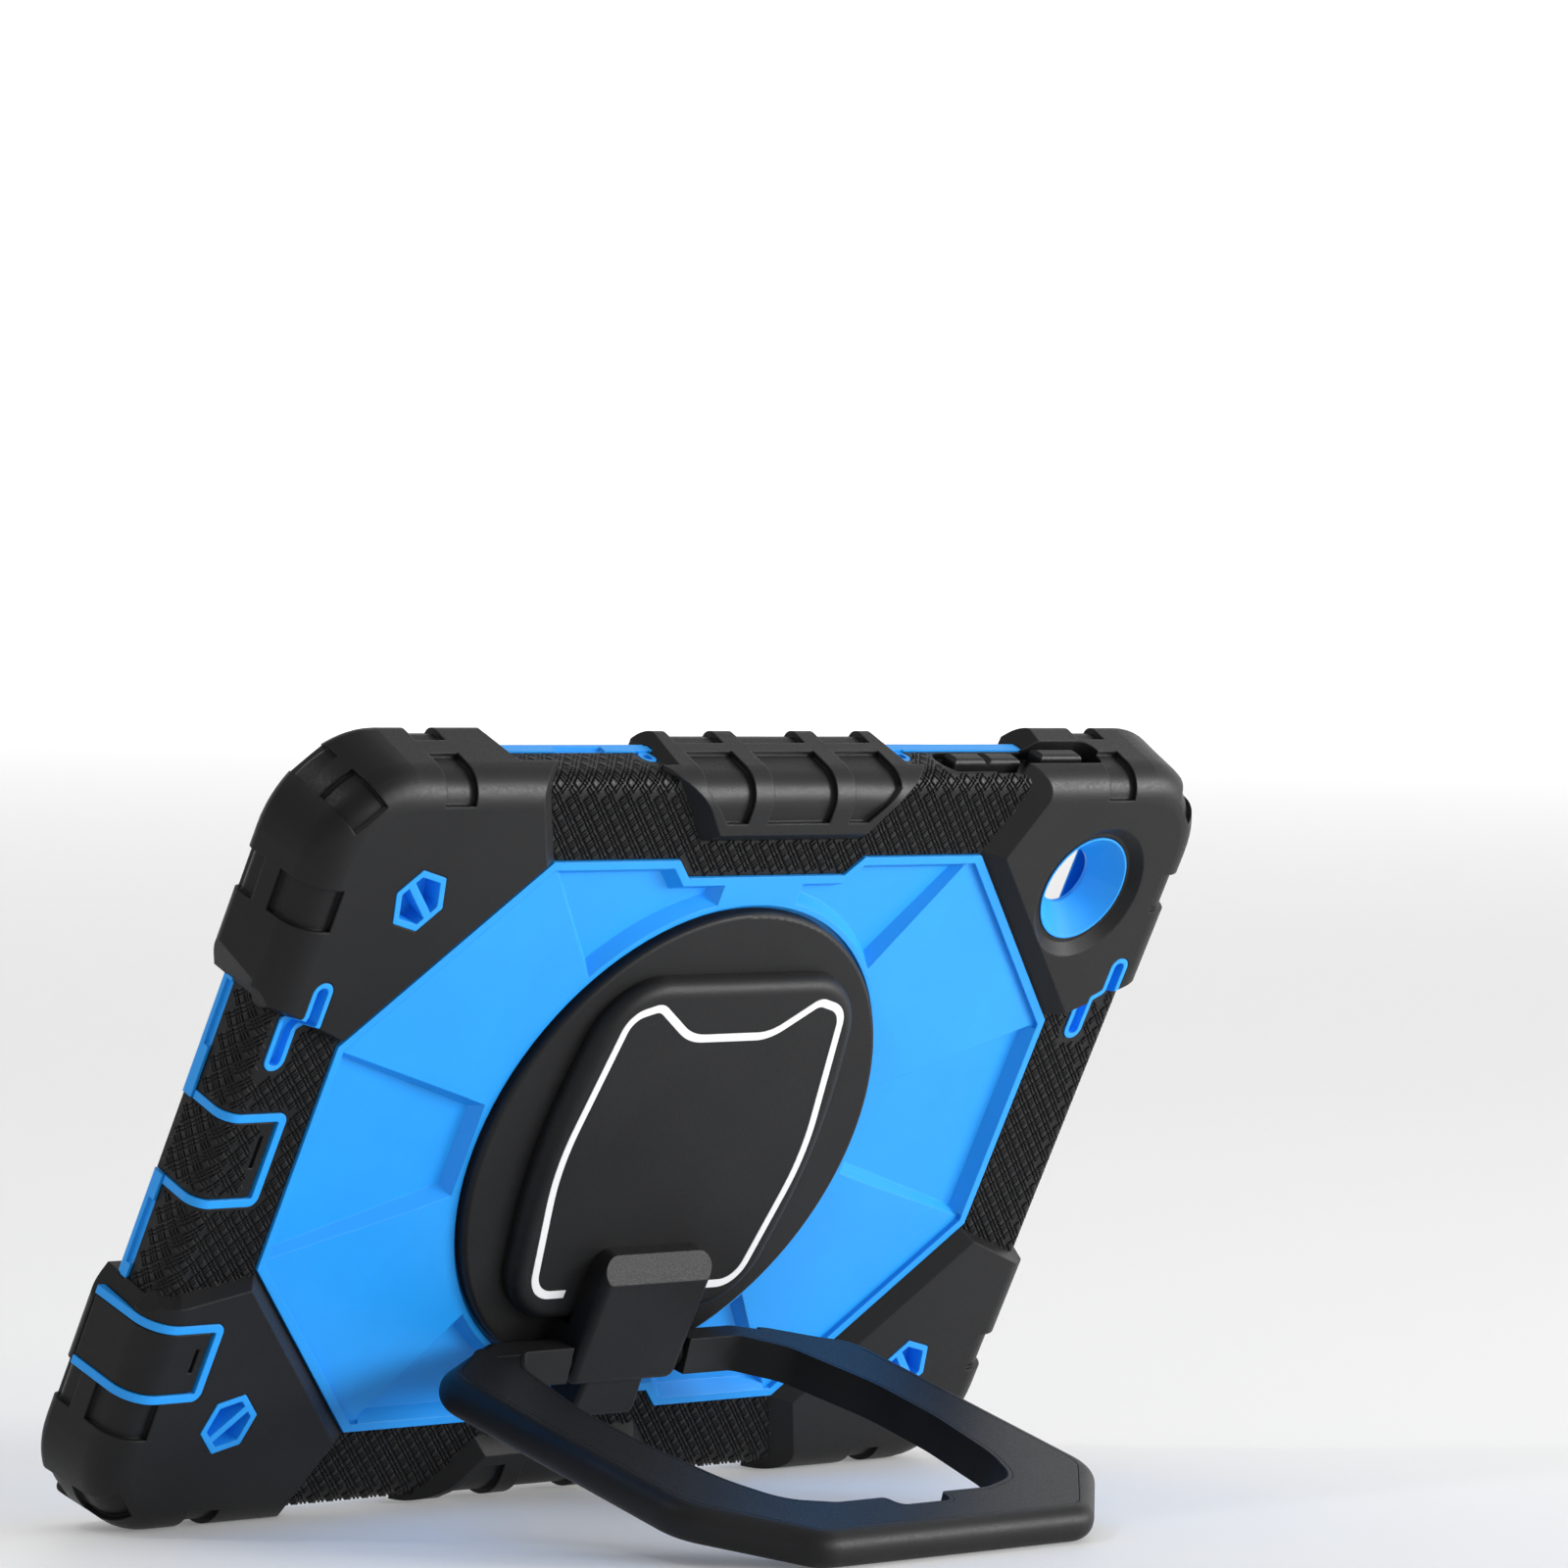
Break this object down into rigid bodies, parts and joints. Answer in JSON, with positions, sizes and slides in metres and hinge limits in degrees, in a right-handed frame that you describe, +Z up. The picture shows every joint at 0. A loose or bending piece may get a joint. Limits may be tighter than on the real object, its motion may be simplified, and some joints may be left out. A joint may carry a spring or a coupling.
{
  "type": "tablet case",
  "caption": "Rugged two-shell tablet case with silicone bumpers, turntable and a folding loop stand, shown standing with the stand open",
  "frame": {"origin": "centre of the bounding box at floor level, standing on the lower bumpers and the open stand's far bar", "axes": "+Z up, -Y towards the rear where the stand is, +X along the case's length, to the right as seen from the rear"},
  "size_m": [0.2831, 0.153, 0.1786],
  "materials": {
    "frame_blue": "satin",
    "shell_blue": "satin",
    "silicone_black": "matt",
    "plastic_black": "fine grained",
    "slider_white": "smooth",
    "line_white": "satin",
    "steel": "zinc plated"
  },
  "bodies": {
    "case": {"front_frame": "frame_blue", "strap_eyelets": "frame_blue", "rear_shell": "shell_blue", "silicone_jacket": "silicone_black", "bearing_ring": "slider_white", "friction_washer": "slider_white"},
    "swivel": {"swivel_disc": "plastic_black", "swivel_retainer": "plastic_black", "retainer_screws": "steel", "pad_cover": "plastic_black", "accent_line": "line_white", "pad_screws": "steel", "hinge_base": "plastic_black", "hinge_clip": "plastic_black", "hinge_screws": "steel", "hinge_bushes": "plastic_black"},
    "kickstand": {"kickstand_body": "plastic_black", "kickstand_face": "plastic_black"},
    "usb_flap": {"usb_port_flap": "silicone_black"},
    "audio_flap": {"audio_port_flap": "silicone_black"},
    "volume": {"volume_rocker": "silicone_black", "volume_plungers": "plastic_black"},
    "power": {"power_button": "silicone_black", "power_plunger": "plastic_black"}
  },
  "joints": [
    {"name": "turntable_spin", "type": "hinge", "parent": "case", "child": "swivel", "pos_m": [0, 0.01805, 0.08424], "axis": [0, -0.8997, -0.4365], "continuous": true},
    {"name": "kickstand_fold", "type": "hinge", "parent": "swivel", "child": "kickstand", "pos_m": [0, 0.03333, 0.03441], "axis": [1, 0, 0], "range_deg": [-80, 0]},
    {"name": "usb_flap_open", "type": "hinge", "parent": "case", "child": "usb_flap", "pos_m": [-0.12308, 0.01964, 0.08501], "axis": [0, -0.4365, 0.8997], "range_deg": [0, 95]},
    {"name": "audio_flap_open", "type": "hinge", "parent": "case", "child": "audio_flap", "pos_m": [-0.12295, 0.03768, 0.03953], "axis": [0, -0.4365, 0.8997], "range_deg": [0, 95]},
    {"name": "volume_rock", "type": "hinge", "parent": "case", "child": "volume", "pos_m": [0.065, -0.01409, 0.1679], "axis": [0, -0.8997, -0.4365], "range_deg": [-2.5, 2.5], "stiffness_Nm_per_rad": 0.2},
    {"name": "power_press", "type": "slide", "parent": "case", "child": "power", "axis": [0, 0.4365, -0.8997], "range_m": [0, 0.0005], "stiffness_N_per_m": 600}
  ]
}
